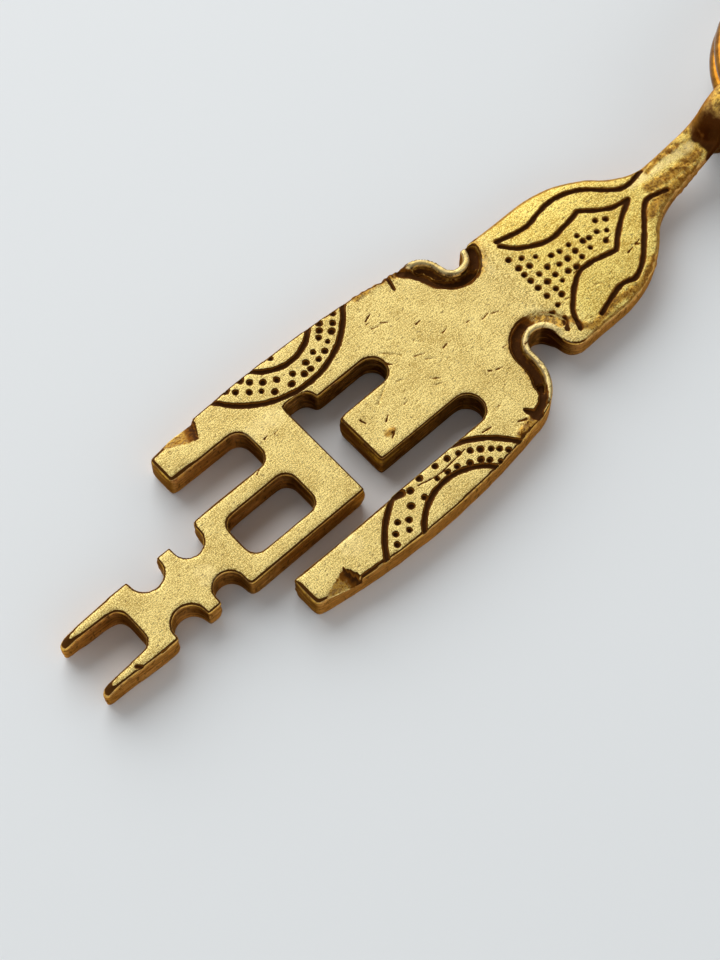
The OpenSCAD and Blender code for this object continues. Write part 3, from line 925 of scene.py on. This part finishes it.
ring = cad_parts["split_ring"]
for polygon in ring.data.polygons:
    polygon.use_smooth = True
polish = Finish(bpy.data.materials.new("polished brass"))
ring_place = polish.node("TexCoord", out="Object")
ring_place = polish.node("VectorMath", {"operation": "SCALE"}, {0: ring_place, "Scale": MM})
rubbing = polish.node("TexNoise", sockets={"Vector": ring_place, "Scale": 1.5, "Detail": 4.0})
ring_stops = [(0.3, RING_DARK), (0.7, RING_PALE)]
polish.fill(polish.shader, {
    "Base Color": polish.node("ValToRGB", {"stops": ring_stops}, {"Fac": rubbing}, out="Color"),
    "Metallic": 1.0,
    "Roughness": 0.12 + rubbing * 0.14,
})
ring.data.materials.clear()
ring.data.materials.append(polish.owner)
print("polished ring:", len(ring.data.polygons), "faces")

# %% [markdown]
# ## Floor, light and camera
# The fob lies on a plain pale sheet. Metal shows what is round it, so the world stands for a room with
# bright walls and a darker ceiling: the fob's walls then have something bright to reflect, and its face
# keeps its own colour. One broad lamp, far off on the left, is the window and gives the soft shadow.
# Together they light the fob about as brightly as white paper in a window, so colours come out as they
# are written. The camera looks steeply down from beyond the fork, a little to its right.

# %% Floor
FLOOR_DROP = 0.00002
FLOOR_HALF = 1.5
SHEET_GREY = srgb(230, 233, 234)

floor_mesh = bpy.data.meshes.new("floor")
sides = [(-1, -1), (1, -1), (1, 1), (-1, 1)]
corners = [(x * FLOOR_HALF, y * FLOOR_HALF, -FLOOR_DROP) for x, y in sides]
floor_mesh.from_pydata(corners, [], [(0, 1, 2, 3)])
floor = bpy.data.objects.new("floor", floor_mesh)
bpy.context.scene.collection.objects.link(floor)
sheet = Finish(bpy.data.materials.new("pale sheet"))
sheet.fill(sheet.shader, {"Base Color": SHEET_GREY, "Roughness": 0.6})
floor_mesh.materials.append(sheet.owner)
print("floor at", -FLOOR_DROP * MM, "mm")

# %% A room with bright walls
WALLS_UP_TO = 0.38
CEILING_FROM = 0.82
WALLS_GLOW = 1.15
CEILING_GLOW = 0.12
DAYLIGHT = (0.97, 0.985, 1, 1)

room = Finish(bpy.data.worlds.new("pale room"), "Background")
sky = room.node("TexCoord", out="Generated")
levels = {
    "Value": room.node("SeparateXYZ", sockets={0: sky}, out="Z"),
    "From Min": WALLS_UP_TO,
    "From Max": CEILING_FROM,
    "To Min": WALLS_GLOW,
    "To Max": CEILING_GLOW,
}
glow = room.node("MapRange", {"interpolation_type": "SMOOTHSTEP"}, levels)
room.fill(room.shader, {"Color": DAYLIGHT, "Strength": glow})
bpy.context.scene.world = room.owner
print("room with", len(room.tree.nodes), "nodes")

# %% The window
WINDOW_PLACE = (-1.02, 0.27, 0.8)
WINDOW_SIDE = 1.4
WINDOW_POWER = 16.5

lamp = bpy.data.lights.new("window", "AREA")
lamp.size = WINDOW_SIDE
lamp.energy = WINDOW_POWER
window = bpy.data.objects.new("window", lamp)
window.location = WINDOW_PLACE
to_fob = Vector((cad_low + cad_high) / 2) - Vector(WINDOW_PLACE)
window.rotation_euler = to_fob.to_track_quat("-Z", "Y").to_euler()
bpy.context.scene.collection.objects.link(window)
print("window", round(to_fob.length, 2), "m from the fob")

# %% Camera
CAMERA_PLACE = (0.05517, -0.05981, 0.15828)
CAMERA_LOOK = Vector((-0.3057, 0.2802, -0.91))

lens = bpy.data.cameras.new("camera")
lens.lens = 80
lens.sensor_width = 36
lens.clip_start = 0.01
camera = bpy.data.objects.new("camera", lens)
camera.location = CAMERA_PLACE
camera.rotation_euler = CAMERA_LOOK.to_track_quat("-Z", "Y").to_euler()
bpy.context.scene.collection.objects.link(camera)
bpy.context.scene.camera = camera
bpy.context.scene.view_settings.view_transform = "Standard"
print("camera", round(Vector(CAMERA_PLACE).length * MM), "mm from the origin")
